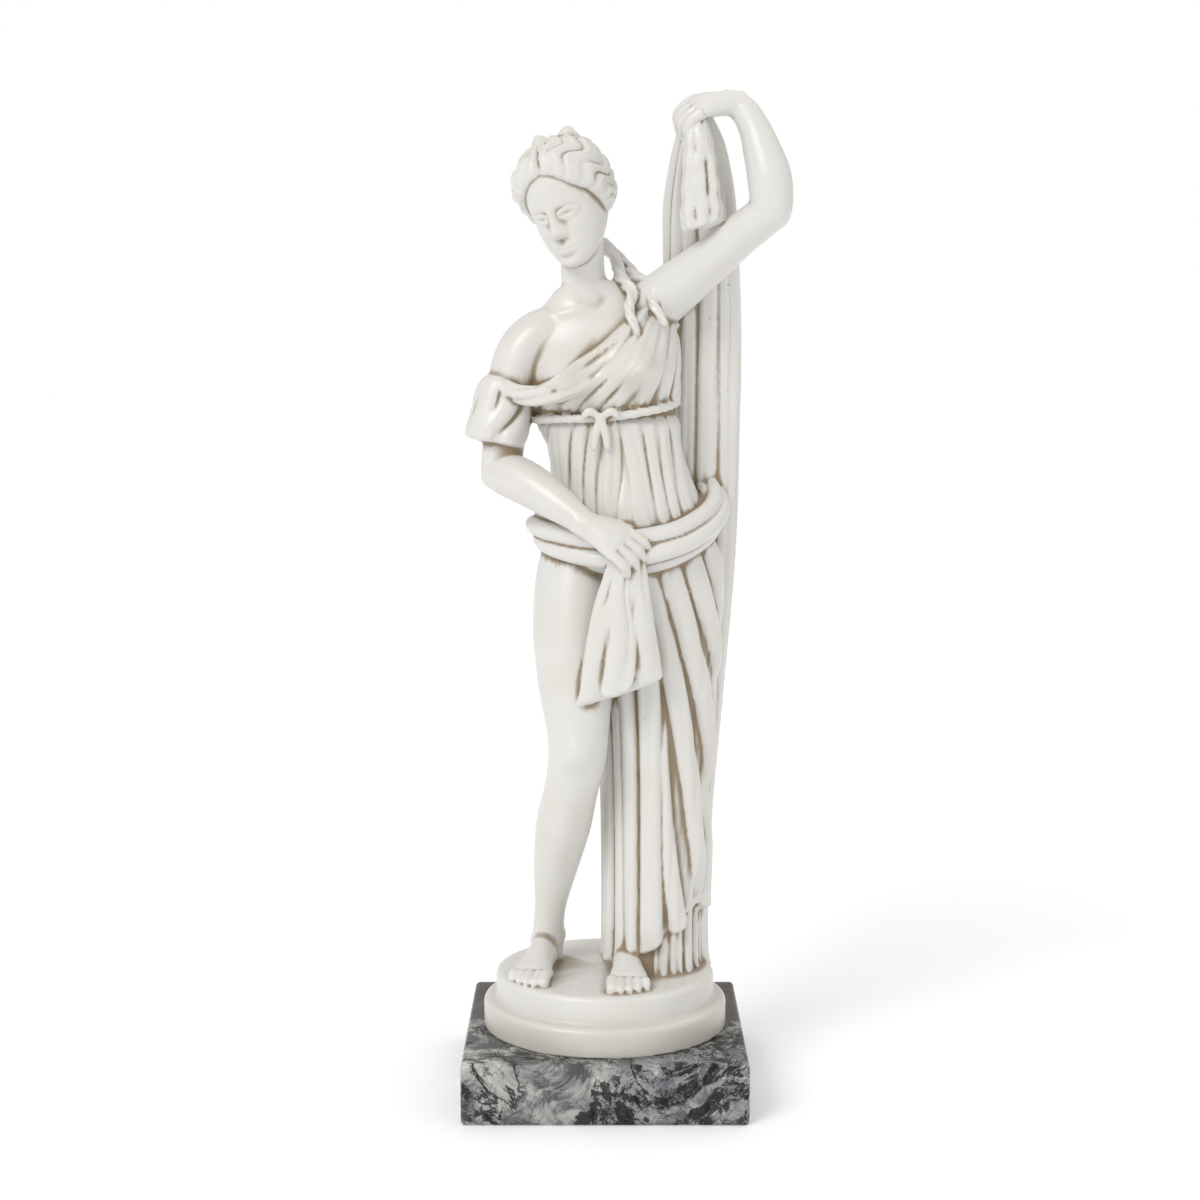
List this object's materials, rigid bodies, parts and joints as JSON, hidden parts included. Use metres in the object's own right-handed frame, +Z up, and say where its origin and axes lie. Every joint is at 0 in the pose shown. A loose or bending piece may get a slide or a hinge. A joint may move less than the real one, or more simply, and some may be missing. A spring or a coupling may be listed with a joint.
{
  "type": "classical marble statuette",
  "caption": "Standing draped woman carved with her round stepped plinth in pale marble, on a square block of veined marble.",
  "frame": {"origin": "middle of the block's underside, where the statuette stands", "axes": "+Z up, -Y the way the figure faces, +X towards its raised left arm"},
  "size_m": [0.1096, 0.096, 0.3407],
  "materials": {
    "cream_marble": "satin cream-white fine-grained marble, faintly translucent, warm patina in the folds",
    "grey_marble": "polished grey marble with white patches and charcoal clouds and veins"
  },
  "bodies": {
    "root": {"figure": "cream_marble", "block": "grey_marble"}
  },
  "joints": []
}
